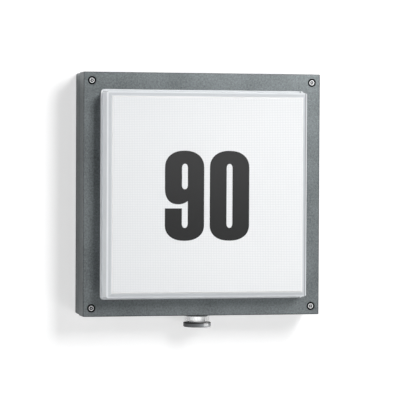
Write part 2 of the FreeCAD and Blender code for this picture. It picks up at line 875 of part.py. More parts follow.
def make_driver():
    """The encapsulated driver: a case with a screw ear at each end."""
    made = body("led_driver")
    drawn = sketch(made, "XZ_Plane", size.driver_seat)
    rectangle(drawn, -driver_half, driver_half, driver_low, driver_height + half(size.driver_width))
    pad(made, drawn, size.driver_thickness)
    tall = size.driver_thickness.number - NEAR
    edge_feature(made, "Fillet", size.driver_corner, lambda edge: edge.BoundBox.YLength > tall)
    drawn = sketch(made, "XZ_Plane", size.driver_seat)
    reach = driver_half + size.driver_ear
    ear_low = driver_height - size.driver_post_radius * 2
    ear_high = driver_height + size.driver_post_radius * 2
    rectangle(drawn, -reach, reach, ear_low, ear_high)
    pad(made, drawn, size.driver_ear_thickness)
    drawn = sketch(made, "XZ_Plane", size.driver_seat)
    circles(drawn, driver_post_places, size.driver_shank_radius + size.hole_play)
    pocket(made, drawn, size.driver_ear_thickness, backwards=True)
    return made


def make_terminal_block():
    """Three poles: a screw well from the front, and a wire entry from above and from below."""
    made = body("terminal_block")
    well_floor = size.terminal_seat + size.terminal_thickness - size.terminal_screw_deep
    drawn = sketch(made, "XZ_Plane", size.terminal_seat)
    rectangle(drawn, -terminal_half, terminal_half, terminal_low, terminal_top)
    pad(made, drawn, size.terminal_thickness)
    drawn = sketch(made, "XZ_Plane", well_floor)
    circles(drawn, pole_places, size.terminal_screw_radius + size.hole_play)
    pocket(made, drawn, size.terminal_screw_deep, backwards=True)
    for level, upwards in ((terminal_low, True), (terminal_top, False)):
        drawn = sketch(made, "XY_Plane", level)
        circles(drawn, [(x, -wire_depth) for x, _ in pole_places], size.terminal_entry_radius)
        pocket(made, drawn, size.terminal_entry_deep, backwards=upwards)
    grubs = body("terminal_screws")
    drawn = sketch(grubs, "XZ_Plane", well_floor)
    circles(drawn, pole_places, size.terminal_screw_radius)
    pad(grubs, drawn, size.terminal_screw_length)
    return made


def make_grommet():
    """The entry's rubber grommet: a plug in the hole, a lip inside it and a nose round the cable."""
    made = body("cable_grommet")
    lip_top = size.rear_floor + size.grommet_lip_thickness
    drawn = sketch(made, "XZ_Plane")
    circles(drawn, entry_places, size.entry_radius)
    pad(made, drawn, size.rear_floor)
    drawn = sketch(made, "XZ_Plane", size.rear_floor)
    circles(drawn, entry_places, size.entry_radius + size.grommet_lip)
    pad(made, drawn, size.grommet_lip_thickness)
    drawn = sketch(made, "XZ_Plane", lip_top)
    circles(drawn, entry_places, size.cable_radius + size.grommet_skin)
    pad(made, drawn, size.grommet_nose)
    drawn = sketch(made, "XZ_Plane")
    circles(drawn, entry_places, size.cable_radius)
    pocket(made, drawn, lip_top + size.grommet_nose, backwards=True)
    return made


def make_clamp():
    """The bar of the strain relief, on its two posts."""
    made = body("cable_clamp")
    reach = clamp_place + size.clamp_post_radius
    low = clamp_height - half(size.clamp_width)
    high = clamp_height + half(size.clamp_width)
    drawn = sketch(made, "XZ_Plane", size.clamp_seat)
    rectangle(drawn, -reach, reach, low, high)
    circles(drawn, clamp_places, size.clamp_shank_radius + size.hole_play)
    pad(made, drawn, size.clamp_thickness)
    return made


def make_sensor():
    """From the housing down: seal, necked body, clear barrel and the cap, with the nut inside."""
    seal_reach = size.barrel_radius - size.sensor_seal_inset
    seal_hole = neck_radius + size.neck_play
    turned(
        "sensor_seal",
        [
            (seal_hole, seal_bottom),
            (seal_reach, seal_bottom),
            (seal_reach, -underside),
            (seal_hole, -underside),
        ],
    )
    turned(
        "sensor_body",
        [
            (neck_bore, flange_bottom),
            (body_flange, flange_bottom),
            (body_flange, seal_bottom),
            (neck_radius, seal_bottom),
            (neck_radius, neck_top),
            (neck_bore, neck_top),
        ],
    )
    turned(
        "sensor_barrel",
        [
            (barrel_bore, groove_floor),
            (size.barrel_radius, groove_floor),
            (size.barrel_radius, seal_bottom),
            (barrel_bore, seal_bottom),
        ],
    )
    groove_inner = barrel_bore - size.barrel_play
    groove_outer = size.barrel_radius + size.barrel_play
    cap = turned(
        "sensor_cap",
        [
            (0, cap_bottom),
            (cap_radius, cap_bottom),
            (cap_radius, cap_top),
            (groove_outer, cap_top),
            (groove_outer, groove_floor),
            (groove_inner, groove_floor),
            (groove_inner, cap_top),
            (0, cap_top),
        ],
    )
    edge_feature(cap, "Fillet", size.cap_edge, rim_of(cap_bottom, "Z", cap_radius))
    nut = body("sensor_nut")
    drawn = sketch(nut, "XY_Plane", block_top)
    turns = [2 * math.pi * i / NUT_SIDES for i in range(NUT_SIDES)]
    outline(drawn, [(nut_radius * math.cos(a), nut_radius * math.sin(a) - sensor_depth) for a in turns])
    circles(drawn, sensor_places, neck_radius + size.hole_play)
    pad(nut, drawn, size.nut_thickness)


def make_lens():
    """The white lens: a cup with stepped rings and upright grooves between its segments."""
    low = cap_top + size.lens_gap
    tall = flange_bottom - low
    made = body("sensor_lens")
    rings = []
    for i in range(LENS_RINGS):
        rings.append((lens_radius, low + tall * i / LENS_RINGS))
        rings.append((lens_radius - size.lens_groove, low + tall * (i + 1) / LENS_RINGS))
    inner = lens_radius - size.lens_skin
    floor = low + size.lens_skin
    drawn = sketch(made, "XZ_Plane", sensor_depth)
    outline(drawn, [(0, low), *rings, (inner, flange_bottom), (inner, floor), (0, floor)])
    spin(made, drawn)
    drawn = sketch(made, "XY_Plane", low)
    reach = half(size.lens_groove_width)
    face = -sensor_depth - lens_radius
    rectangle(drawn, -reach, reach, face - size.lens_groove, face + size.lens_groove)
    groove = pocket(made, drawn, tall, backwards=True)
    axis = sketch(made, "XZ_Plane", sensor_depth)
    pattern = made.newObject("PartDesign::PolarPattern", "sensor_lens_grooves")
    pattern.Originals = [groove]
    pattern.Axis = (axis, ["V_Axis"])
    pattern.Angle = 360
    pattern.Occurrences = LENS_GROOVES
    made.Tip = pattern
    doc.recompute()
    return made


def make_detectors():
    """The round board in the sensor's neck, with the heat detector's can and the light detector."""
    board = body("sensor_board")
    drawn = sketch(board, "XY_Plane", board_low)
    circles(drawn, sensor_places, board_radius)
    pad(board, drawn, size.sensor_board_thickness)
    brim_radius = detector_radius + size.detector_brim
    brim_low = board_low - size.detector_brim
    turned(
        "heat_detector",
        [
            (0, flange_bottom),
            (detector_radius, flange_bottom),
            (detector_radius, brim_low),
            (brim_radius, brim_low),
            (brim_radius, board_low),
            (0, board_low),
        ],
    )
    eye = body("light_detector")
    drawn = sketch(eye, "XY_Plane", board_low)
    circles(drawn, [(light_detector_place, -sensor_depth)], size.light_detector_radius)
    pad(eye, drawn, size.light_detector_height, backwards=True)


def make_dials():
    """Two setting dials in the underside, each with a screwdriver slot and a shaft."""
    head_bottom = -underside - size.dial_proud
    head_top = dial_pocket_top - size.dial_lift
    shaft_top = setting_board_under - size.dial_shaft_end
    section = [
        (0, head_bottom),
        (size.dial_radius, head_bottom),
        (size.dial_radius, head_top),
        (size.dial_shaft_radius, head_top),
        (size.dial_shaft_radius, shaft_top),
        (0, shaft_top),
    ]
    slot_reach = size.dial_radius - size.dial_slot_end
    slot_side = half(size.dial_slot_width)
    for label, place in (("time_dial", dial_place), ("twilight_dial", -dial_place)):
        made = turned(label, section, dial_depth, place)
        edge_feature(made, "Chamfer", size.dial_edge, rim_of(head_bottom, "Z", size.dial_radius))
        drawn = sketch(made, "XY_Plane", head_bottom)
        rectangle(
            drawn, place - slot_side, place + slot_side, -dial_depth - slot_reach, slot_reach - dial_depth
        )
        pocket(made, drawn, size.dial_slot_depth, backwards=True)
    seals = body("dial_seals")
    drawn = sketch(seals, "XY_Plane", dial_pocket_top)
    circles(drawn, dial_places, dial_seal_radius)
    circles(drawn, dial_places, dial_hole)
    pad(seals, drawn, size.dial_seal_height)


def make_setting_board():
    """The board above the dials, cut round the sensor's nut, with a potentiometer for each dial."""
    settings = body("potentiometers")
    drawn = sketch(settings, "XY_Plane", dial_boss_top)
    reach = half(size.setting_size)
    for x, y in dial_places:
        rectangle(drawn, x - reach, x + reach, y - reach, y + reach)
    circles(drawn, dial_places, dial_hole)
    pad(settings, drawn, size.setting_thickness)
    board = body("setting_board")
    board_half = setting_post + size.setting_board_end
    board_front = dial_depth + size.setting_board_reach
    drawn = sketch(board, "XY_Plane", setting_board_under)
    rectangle(drawn, -board_half, board_half, -board_front, -setting_board_back)
    circles(drawn, setting_post_places, size.setting_shank_radius + size.hole_play)
    pad(board, drawn, size.setting_board_thickness)
    drawn = sketch(board, "XY_Plane", setting_board_under)
    circles(drawn, sensor_places, nut_radius + size.setting_cut_gap)
    pocket(board, drawn, size.setting_board_thickness, backwards=True)
    made = body("setting_board_screws")
    drawn = sketch(made, "XY_Plane", setting_board_top)
    circles(drawn, setting_post_places, size.setting_head_radius)
    pad(made, drawn, size.setting_head_height)
    drawn = sketch(made, "XY_Plane", setting_board_top)
    circles(drawn, setting_post_places, size.setting_shank_radius)
    pad(made, drawn, size.setting_board_thickness + size.setting_thread, backwards=True)
    head_top = setting_board_top + size.setting_head_height
    edge_feature(made, "Chamfer", size.head_edge, rim_of(head_top, "Z", size.setting_head_radius))


# Wires: round tubes along straight runs joined by tangent arcs
def tube(points, bend, radius):
    """A wire through points of X, depth and Z, with the same bend radius at each corner."""
    spots = [Vector(as_size(x).number, -as_size(d).number, as_size(z).number) for x, d, z in points]
    edges = []
    start = spots[0]
    for before, corner, after in zip(spots, spots[1:], spots[2:]):
        arrive = (corner - before).normalize()
        leave = (after - corner).normalize()
        half_turn = arrive.getAngle(leave) / 2
        trim = bend.number * math.tan(half_turn)
        inward = (leave - arrive).normalize()
        centre = corner + inward * (bend.number / math.cos(half_turn))
        edges.append(Part.LineSegment(start, corner - arrive * trim).toShape())
        arc = Part.Arc(corner - arrive * trim, centre - inward * bend.number, corner + leave * trim)
        edges.append(arc.toShape())
        start = corner + leave * trim
    edges.append(Part.LineSegment(start, spots[-1]).toShape())
    path = Part.Wire(edges)
    section = Part.Wire([Part.Circle(spots[0], spots[1] - spots[0], radius.number).toShape()])
    made = path.makePipeShell([section], True, False)
    ideal = path.Length * math.pi * radius.number**2
    print(f"wire: length {path.Length:.1f}, volume over section times length {made.Volume / ideal:.4f}")
    return made


def wires(label, routes, bend=size.wire_bend):
    made = doc.addObject("Part::Feature", label)
    made.Label = label
    shapes = [tube(points, bend, size.wire_radius) for points in routes]
    made.Shape = shapes[0] if len(shapes) == 1 else Part.makeCompound(shapes)
    return made


def make_wires():
    """Supply and earth leads, the lamp circuit's leads, and the leads of the sensor."""
    entry_end = terminal_low + size.terminal_entry_deep
    supply = []
    for i in range(2):
        pole = pole_places[POLES - 1 - i][0]
        place = terminal_half + size.supply_gap + size.supply_pitch * i
        height = terminal_low - size.supply_drop - size.supply_pitch * i
        supply.append(
            [
                (pole, wire_depth, entry_end),
                (pole, wire_depth, height),
                (place, wire_depth, height),
                (place, wire_depth, driver_low),
            ]
        )
    wires("supply_leads", supply)
    earth_pole = pole_places[0][0]
    earth_low = terminal_low - size.supply_drop
    wires(
        "earth_lead",
        [
            [
                (earth_pole, wire_depth, entry_end),
                (earth_pole, wire_depth, earth_low),
                (earth_place, wire_depth, earth_low),
                (earth_place, wire_depth, terminal_height - size.earth_head_radius),
            ]
        ],
    )
    driver_middle = size.driver_seat + half(size.driver_thickness)
    arch = strip_front + size.lamp_wire_rise
    wires(
        "led_lead",
        [
            [
                (lamp_wire, driver_middle, driver_low),
                (lamp_wire, driver_middle, lamp_wire_height),
                (lamp_wire, arch, lamp_wire_height),
                (lamp_wire, arch, strip_heights[0]),
                (lamp_wire, strip_front, strip_heights[0]),
            ]
        ],
    )
    link_place = strip_reach - size.link_inset
    link_top = strip_front + size.link_rise
    links = []
    for upper, lower in zip(strip_heights, strip_heights[1:]):
        links.append(
            [
                (link_place, strip_front, upper - size.link_step),
                (link_place, link_top, upper - size.link_step),
                (link_place, link_top, lower + size.link_step),
                (link_place, strip_front, lower + size.link_step),
            ]
        )
    wires("board_links", links, size.link_bend)
    sensor_wire = -terminal_half - size.sensor_wire_gap
    sensor_wire_depth = dial_depth + size.sensor_wire_offset
    wires(
        "sensor_lead",
        [[(sensor_wire, sensor_wire_depth, setting_board_top), (sensor_wire, sensor_wire_depth, driver_low)]],
    )
    rise = neck_top + size.detector_wire_rise
    landing = setting_board_back + size.detector_wire_inset
    wires(
        "detector_lead",
        [
            [
                (0, sensor_depth, board_low + size.sensor_board_thickness),
                (0, sensor_depth, rise),
                (0, landing, rise),
                (0, landing, setting_board_top),
            ]
        ],
    )


def make_screws():
    """The washers and screws of every place that is screwed from the front or the back."""
    washers = body("screw_seals")
    drawn = sketch(washers, "XZ_Plane", recess_bottom)
    circles(drawn, screw_places, size.recess_radius - size.washer_play)
    circles(drawn, screw_places, size.cover_shank_radius + size.hole_play)
    pad(washers, drawn, size.washer_thickness)
    screws(
        "cover_screws",
        screw_places,
        washer_top,
        (size.cover_head_radius, front - size.cover_head_gap - washer_top),
        (size.cover_shank_radius, washer_top - rim_depth + size.cover_thread),
    )
    screws(
        "clip_screws",
        clip_places,
        clip_seat - size.clip_thickness,
        (size.clip_head_radius, size.clip_head_height),
        (size.clip_shank_radius, front - size.clip_cover - clip_seat + size.clip_thickness),
        inwards=True,
    )
    screws(
        "tray_screws",
        gear_post_places,
        strip_back,
        (size.gear_head_radius, size.gear_head_height),
        (size.gear_shank_radius, size.gear_thread),
    )
    screws(
        "board_screws",
        strip_screw_places,
        strip_front,
        (size.strip_head_radius, size.strip_head_height),
        (size.strip_shank_radius, size.strip_thread),
    )
    screws(
        "driver_screws",
        driver_post_places,
        size.driver_seat + size.driver_ear_thickness,
        (size.driver_head_radius, size.driver_head_height),
        (size.driver_shank_radius, size.driver_thread),
    )
    screws(
        "clamp_screws",
        clamp_places,
        size.clamp_seat + size.clamp_thickness,
        (size.clamp_head_radius, size.clamp_head_height),
        (size.clamp_shank_radius, size.clamp_thickness + size.clamp_thread),
    )
    screws(
        "earth_screw",
        earth_places,
        earth_seat,
        (size.earth_head_radius, size.earth_head_height),
        (size.earth_shank_radius, size.earth_thread),
    )


make_rear_housing()
make_front_frame()
make_diffuser()
seal_outer = tray_outer - size.frame_seal_play
seal_inner = tray_inner + size.frame_seal_play
square_ring("frame_seal", seal_outer, seal_inner, rim_depth, size.frame_seal_thickness)
square_ring(
    "diffuser_seal",
    flange_reach - size.diffuser_seal_inset,
    window_half,
    face_back - size.diffuser_seal_thickness,
    size.diffuser_seal_thickness,
)
make_clips()
make_gear_tray()
make_strips()
make_driver()
make_terminal_block()
make_grommet()
make_clamp()
make_sensor()
make_lens()
make_detectors()
make_dials()
make_setting_board()
make_wires()
make_screws()

doc.recompute()
pieces = [thing for thing in doc.Objects if thing.TypeId in ("PartDesign::Body", "Part::Feature")]
for thing in doc.Objects:
    if "Invalid" in thing.State or "Error" in thing.State:
        raise RuntimeError(f"{thing.Label} has not been worked out: {thing.State}")
for piece in pieces:
    if piece.Shape.isNull() or not piece.Shape.isValid() or piece.Shape.Volume <= 0:
        raise RuntimeError(f"{piece.Label} is not a sound solid")
os.makedirs("parts", exist_ok=True)
for piece in pieces:
    piece.Shape.exportStep(f"parts/{piece.Label}.step")
    print(f"{piece.Label}: {len(piece.Shape.Solids)} solid(s), {piece.Shape.Volume:.0f} mm3")
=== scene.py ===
# %% [markdown]
# # A wall light with a house number
#
# This scene dresses a square outdoor wall light. Its solids come from CAD: a cast tray on the wall, a cast
# frame over it, an opal diffuser in the frame's window and a motion sensor underneath. What is left for
# Blender is the look: the finishes, the number on the face, the light and the camera.

# %% Load the solids
import math

import bmesh
import bpy
from mathutils import Matrix, Vector


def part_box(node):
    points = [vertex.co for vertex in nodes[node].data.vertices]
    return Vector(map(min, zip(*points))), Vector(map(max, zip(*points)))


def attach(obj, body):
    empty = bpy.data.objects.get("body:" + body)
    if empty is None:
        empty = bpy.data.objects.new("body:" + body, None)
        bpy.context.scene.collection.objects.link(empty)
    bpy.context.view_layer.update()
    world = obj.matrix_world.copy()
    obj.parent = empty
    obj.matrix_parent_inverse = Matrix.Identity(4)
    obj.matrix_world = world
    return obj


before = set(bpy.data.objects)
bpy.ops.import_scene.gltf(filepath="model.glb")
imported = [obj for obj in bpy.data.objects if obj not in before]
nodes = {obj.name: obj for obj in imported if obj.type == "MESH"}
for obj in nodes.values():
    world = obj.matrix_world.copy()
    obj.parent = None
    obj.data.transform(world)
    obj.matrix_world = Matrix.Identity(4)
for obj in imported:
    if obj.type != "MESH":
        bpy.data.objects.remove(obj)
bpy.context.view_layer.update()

# %% [markdown]
# ## Sizes
#
# Blender counts in metres and this light is drawn in millimetres, so one short name turns the one into the
# other. The places of new pieces are read from the solids' own boxes, so that the pieces stay seated if a
# solid changes. The diffuser's flat face has a field that is sunk a little behind its rim.

# %% Millimetres and the diffuser's face
MM = 0.001
FIELD_SUNK = 0.2 * MM
rim_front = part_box("diffuser")[0].y
face_front = rim_front + FIELD_SUNK
print("the diffuser's rim stands", round(-rim_front / MM, 2), "mm off the wall")
print("its field stands", round(-face_front / MM, 2), "mm off the wall")

# %% [markdown]
# ## Camera
#
# The light was photographed from its left with a long lens, so its edges hardly converge. The camera's
# place was worked out from where the corners of the frame and of the diffuser fall in the picture. Three
# angles turn it: yaw round the light, pitch over it and a very small roll.

# %% The camera
YAW = math.radians(13.343)
PITCH = math.radians(1.138)
ROLL = math.radians(-0.272)
FOCAL_PIXELS = 2302.01
PHOTO_WIDTH = 400
SENSOR_WIDTH = 36
CAMERA_PLACE = (-0.67092, -2.87003, 0.05048)
backward = Vector((-math.sin(YAW) * math.cos(PITCH), -math.cos(YAW) * math.cos(PITCH), math.sin(PITCH)))
level = Vector((math.cos(YAW), -math.sin(YAW), 0))
upward = backward.cross(level)
rightward = math.cos(ROLL) * level - math.sin(ROLL) * upward
topward = math.sin(ROLL) * level + math.cos(ROLL) * upward
camera_data = bpy.data.cameras.new("photo_camera")
camera_data.sensor_width = SENSOR_WIDTH
camera_data.lens = FOCAL_PIXELS / PHOTO_WIDTH * SENSOR_WIDTH
camera_data.clip_end = 20
camera = bpy.data.objects.new("photo_camera", camera_data)
turn = Matrix((rightward, topward, backward)).transposed().to_4x4()
camera.matrix_world = Matrix.Translation(CAMERA_PLACE) @ turn
bpy.context.scene.collection.objects.link(camera)
bpy.context.scene.camera = camera
print("a lens of", round(camera_data.lens, 1), "mm, at", CAMERA_PLACE)

# %% [markdown]
# ## Arithmetic for finishes
#
# A finish is a small calculation that runs at each point of a surface. In the node editor every plus and
# times is a box of its own, which is slow to read. Here a wire is wrapped in a class with the usual
# operators, so that a sum in Python adds the Math nodes, and any other node comes from one method.

# %% Wires and finishes
class Wire:
    """An output socket that can be added, multiplied and compared."""

    def __init__(self, finish, socket):
        self.finish = finish
        self.socket = socket

    def math(self, operation, *numbers):
        return self.finish.node("ShaderNodeMath", {"operation": operation}, dict(enumerate(numbers)))

    def __add__(self, other):
        return self.math("ADD", self, other)

    def __radd__(self, other):
        return self.math("ADD", other, self)

    def __sub__(self, other):
        return self.math("SUBTRACT", self, other)

    def __rsub__(self, other):
        return self.math("SUBTRACT", other, self)

    def __mul__(self, other):
        return self.math("MULTIPLY", self, other)

    def __rmul__(self, other):
        return self.math("MULTIPLY", other, self)

    def __gt__(self, other):
        return self.math("GREATER_THAN", self, other)

    def __lt__(self, other):
        return self.math("LESS_THAN", self, other)

    def sine(self):
        return self.math("SINE", self)

    def cosine(self):
        return self.math("COSINE", self)

    def root(self):
        return self.math("SQRT", self)

    def size(self):
        return self.math("ABSOLUTE", self)

    def most(self, other):
        return self.math("MAXIMUM", self, other)

    def angle(self, across):
        """The angle of the direction that goes this much up and that much across."""
        return self.math("ARCTAN2", self, across)

    def wave(self):
        """From 0 to 1 and back, once in every full turn."""
        return self.sine() * 0.5 + 0.5

    def step(self, start, end):
        """A smooth ramp from 0 at start to 1 at end."""
        smooth = {"interpolation_type": "SMOOTHSTEP"}
        sockets = {"Value": self, "From Min": start, "From Max": end}
        return self.finish.node("ShaderNodeMapRange", smooth, sockets)

    def band(self, start, full, fade, end):
        """A smooth ramp up from start to full, and down again from fade to end."""
        return self.step(start, full) * (1 - self.step(fade, end))


class Finish:
    """A material and the nodes that make it."""

    def __init__(self, name):
        self.material = bpy.data.materials.new(name)
        self.material.use_nodes = True
        self.tree = self.material.node_tree
        self.shader = self.tree.nodes["Principled BSDF"]
        self.output = self.tree.nodes["Material Output"]

    def node(self, kind, settings=(), sockets=(), out=0):
        """Adds a node, makes its settings, feeds its sockets and gives back one of its outputs."""
        made = self.tree.nodes.new(kind)
        for key, value in dict(settings).items():
            setattr(made, key, value)
        for key, value in dict(sockets).items():
            self.feed(made.inputs[key], value)
        return Wire(self, made.outputs[out])

    def feed(self, socket, value):
        if isinstance(value, Wire):
            self.tree.links.new(value.socket, socket)
        else:
            socket.default_value = value

    def surface(self, **sockets):
        """Sets sockets of the main shader, named with underscores for spaces."""
        for key, value in sockets.items():
            self.feed(self.shader.inputs[key.replace("_", " ")], value)

    def place(self, axis=None):
        """The point on the piece, in metres, or one of its three numbers."""
        point = self.node("ShaderNodeTexCoord", out="Object")
        if axis is None:
            return point
        return self.node("ShaderNodeSeparateXYZ", sockets={"Vector": point}, out=axis)

    def rays(self):
        """One where the camera looks straight at the surface, through clear plastic, or by a reflection."""
        kinds = ("Is Camera Ray", "Is Transmission Ray", "Is Glossy Ray")
        return [self.node("ShaderNodeLightPath", out=kind) for kind in kinds]

    def noise(self, scale, detail=2.0, roughness=0.5):
        """A cloud of values round a half, finer at a larger scale."""
        sockets = {"Vector": self.place(), "Scale": scale, "Detail": detail, "Roughness": roughness}
        return self.node("ShaderNodeTexNoise", sockets=sockets)

    def cells(self, scale):
        """Small cells with one random value each, which is the red of their random colour."""
        sockets = {"Vector": self.place(), "Scale": scale}
        colour = self.node("ShaderNodeTexVoronoi", sockets=sockets, out="Color")
        return self.node("ShaderNodeSeparateColor", sockets={"Color": colour})

    def blend(self, share, first, second):
        """A colour between two colours. The Mix node keeps those two in its sockets 6 and 7."""
        sockets = {"Factor": share, 6: first, 7: second}
        return self.node("ShaderNodeMix", {"data_type": "RGBA"}, sockets, out=2)

    def bump(self, height, distance, strength=1.0, under=None):
        """A bump of this height, on top of another bump if one is given."""
        sockets = {"Height": height, "Distance": distance, "Strength": strength}
        if under is not None:
            sockets["Normal"] = under
        return self.node("ShaderNodeBump", sockets=sockets)


class Room(Finish):
    """The nodes of the world, mixed in the same way."""

    def __init__(self, world):
        self.tree = world.node_tree
        self.shader = self.tree.nodes["Background"]


print("ready to mix finishes")

# %% [markdown]
# ## The wall and the floor
#
# The light hangs on a white wall, which catches its shadow, and a pale floor lies well below. Both are
# one-sided: seen from behind they are clear, and a lamp behind the wall shines through, so that the back of
# the light can be looked at. Both glow a little for the camera, directly or through clear plastic, and less
# for what shines in metal. The background is white in this way without more light on the object.

# %% A stage finish
WHITE = (1, 1, 1, 1)
MIRRORED_GLOW = 0.25


def stage_finish(name, colour, glow):
    finish = Finish(name)
    finish.surface(Base_Color=colour, Roughness=0.9, Specular_IOR_Level=0.1)
    direct, through, mirrored = finish.rays()
    seen = direct.most(through).most(mirrored * MIRRORED_GLOW)
    light = finish.node("ShaderNodeEmission", sockets={"Color": WHITE, "Strength": 1.75})
    main = Wire(finish, finish.shader.outputs[0])
    lit = finish.node("ShaderNodeMixShader", sockets={0: seen * glow, 1: main, 2: light})
    behind = finish.node("ShaderNodeNewGeometry", out="Backfacing")
    behind = behind.most(finish.node("ShaderNodeLightPath", out="Is Shadow Ray"))
    clear = finish.node("ShaderNodeBsdfTransparent")
    lit = finish.node("ShaderNodeMixShader", sockets={0: behind, 1: lit, 2: clear})
    finish.feed(finish.output.inputs["Surface"], lit)
    return finish.material


ROOM_WIDTH = 8
ROOM_REACH = 4


def stage_plane(name, middle, turned, material):
    grid = bmesh.new()
    bmesh.ops.create_grid(grid, x_segments=1, y_segments=1, size=0.5)
    bmesh.ops.scale(grid, vec=(ROOM_WIDTH, ROOM_REACH, 1), verts=grid.verts)
    bmesh.ops.rotate(grid, matrix=Matrix.Rotation(turned, 3, "X"), verts=grid.verts)
    bmesh.ops.translate(grid, vec=middle, verts=grid.verts)
    mesh = bpy.data.meshes.new(name)
    grid.to_mesh(mesh)
    grid.free()
    mesh.materials.append(material)
    plane = bpy.data.objects.new(name, mesh)
    bpy.context.scene.collection.objects.link(plane)
    return plane


print("wall and floor are", ROOM_WIDTH, "m wide and reach", ROOM_REACH, "m")

# %% The wall and the floor
WALL_GAP = 0.3 * MM
FLOOR_LEVEL = -0.9
wall_finish = stage_finish("white_wall", (0.86, 0.86, 0.865, 1), 0.33)
floor_finish = stage_finish("pale_floor", (0.5, 0.5, 0.5, 1), 0.45)
wall = stage_plane("wall", (0, WALL_GAP, FLOOR_LEVEL + ROOM_REACH / 2), math.radians(90), wall_finish)
floor = stage_plane("floor", (0, -ROOM_REACH / 2, FLOOR_LEVEL), 0, floor_finish)
for plane in (wall, floor):
    print(plane.name, "faces", [round(c, 2) for c in plane.data.polygons[0].normal])

# %% [markdown]
# ## Light
#
# The key lamp stands high on the right and in front, so the diffuser's shadow falls on the frame to its
# left and below. A weak side lamp and a weak low lamp open the shadows, and a pale world fills the rest.
# Metal sees that world at a small share, or the coat would turn pale. A photographer also holds up cards for
# one part of a product. Blender has light linking for this: a lamp can be told which objects it lights.
# Three cards light the sensor's lens, its cap and the diffuser, and a lamp behind the wall lights only the
# back of the housing.

# %% A lamp
LIGHT_MIDDLE = (0, -0.05, 0)
SENSOR_MIDDLE = (0, -0.03, -0.165)


def lamp(name, place, width, height, power, target=LIGHT_MIDDLE, only_on=()):
    """A flat lamp that faces its target and, with names given, lights only those solids."""
    data = bpy.data.lights.new(name, "AREA")
    data.shape = "RECTANGLE"
    data.size = width
    data.size_y = height
    data.energy = power
    made = bpy.data.objects.new(name, data)
    toward = Vector(target) - Vector(place)
    made.matrix_world = Matrix.Translation(place) @ toward.to_track_quat("-Z", "Y").to_matrix().to_4x4()
    bpy.context.scene.collection.objects.link(made)
    if only_on:
        lit = bpy.data.collections.new(name + "_reach")
        for solid in only_on:
            lit.objects.link(nodes[solid])
        made.light_linking.receiver_collection = lit
    return made


print("lamps face", LIGHT_MIDDLE, "and the sensor's cards", SENSOR_MIDDLE)

# %% The lamps and the cards
SIDE = (-2.3, -0.6, 0.3)
lamps = [
    lamp("key_lamp", (1.05, -2.15, 1.2), 0.8, 1.1, 56),
    lamp("side_lamp", SIDE, 0.9, 1.2, 12),
    lamp("low_lamp", (1.0, -1.9, -0.9), 1.0, 0.5, 8.5),
    lamp("front_card", (-0.35, -1.0, -0.4), 1.2, 0.3, 13, SENSOR_MIDDLE, only_on=["sensor_lens"]),
    lamp("right_card", (1.6, -0.6, -0.3), 1.4, 0.6, 38, SENSOR_MIDDLE, only_on=["sensor_cap"]),
    lamp("left_card", SIDE, 0.9, 1.2, 20, only_on=["diffuser"]),
    lamp("back_lamp", (0.5, 2.4, 0.6), 2.2, 2.2, 60, (0, 0, 0), only_on=["rear_housing", "cable_grommet"]),
]
for one in lamps:
    print(one.name, one.data.energy, "W, linked" if one.light_linking.receiver_collection else "W")

# %% The world
SKY_FILL = 0.05
MIRRORED_SKY = 0.03
world = bpy.data.worlds.new("studio")
bpy.context.scene.world = world
world.use_nodes = True
room = Room(world)
direct, through, mirrored = room.rays()
seen = direct.most(through).most(mirrored * MIRRORED_SKY)
room.surface(Color=WHITE, Strength=seen * (1 - SKY_FILL) + SKY_FILL)
bpy.context.scene.view_settings.view_transform = "Standard"
print("the world fills with", SKY_FILL, "and is white to the camera")

# %% [markdown]
# ## Powder-coated casting
#
# The tray and the frame are die castings with an anthracite powder coat that holds fine metal flakes. Paint
# like this is grey up close, with darker and lighter specks a fraction of a millimetre wide, and its skin
# is slightly pebbled. Three patterns mix two greys: a noise for the specks, cells for the flakes and a wide
# noise for haze. Little light gets to the front edge, to the screws' recesses and behind the frame, so these
# get a dark line, placed by distances from the solids' boxes.

# %% Where the cover screws and the frame's edges are
HEAD_RADIUS = 3.7 * MM
WELL_RADIUS = 5.2 * MM
SCREW_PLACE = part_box("cover_screws")[1].x - HEAD_RADIUS
frame_low, frame_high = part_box("front_frame")
FRAME_HALF = frame_high.x


def from_screw(finish):
    """Across, up and away from the centre of the nearest cover screw."""
    across = finish.place("X").size() - SCREW_PLACE
    up = finish.place("Z").size() - SCREW_PLACE
    return across, up, (across * across + up * up).root()


print("the screws stand", round(SCREW_PLACE / MM, 2), "mm out from the middle")
print("the frame is", round(2 * FRAME_HALF / MM, 1), "mm wide")


# %% Anthracite powder coat
def dark_lines(finish):
    """The screws' recesses, the front edge and the gap behind the frame, where little light gets in."""
    across = finish.place("X")
    depth = finish.place("Y")
    reach = across.size().most(finish.place("Z").size())
    well = from_screw(finish)[2] < WELL_RADIUS
    edge = reach.step(FRAME_HALF - 1.5 * MM, FRAME_HALF - 0.3 * MM) * (depth < frame_low.y + 1.0 * MM)
    catches_light = across < 2 * MM - FRAME_HALF
    edge = edge * (0.75 - catches_light * 0.4125)
    behind_frame = depth - frame_high.y
    seam = (behind_frame > 0.05 * MM) * (1 - behind_frame.step(3.5 * MM, 5.0 * MM)) * 0.85
    return well.most(edge).most(seam)


def powder_coat():
    finish = Finish("anthracite_coat")
    cloud = finish.noise(430, detail=4, roughness=0.7)
    spark = finish.cells(2600)
    haze = finish.noise(24)
    share = (cloud - 0.5) * 1.9 + spark * 0.4 + (haze - 0.5) * 0.7 + 0.3
    colour = finish.blend(share, (0.107, 0.119, 0.124, 1), (0.255, 0.284, 0.291, 1))
    colour = finish.blend(dark_lines(finish), colour, (0.012, 0.013, 0.014, 1))
    finish.surface(Base_Color=colour, Metallic=0.8, Roughness=0.34 + spark * 0.1)
    finish.surface(Normal=finish.bump(finish.noise(1500), 0.04 * MM, 0.4))
    return finish.material


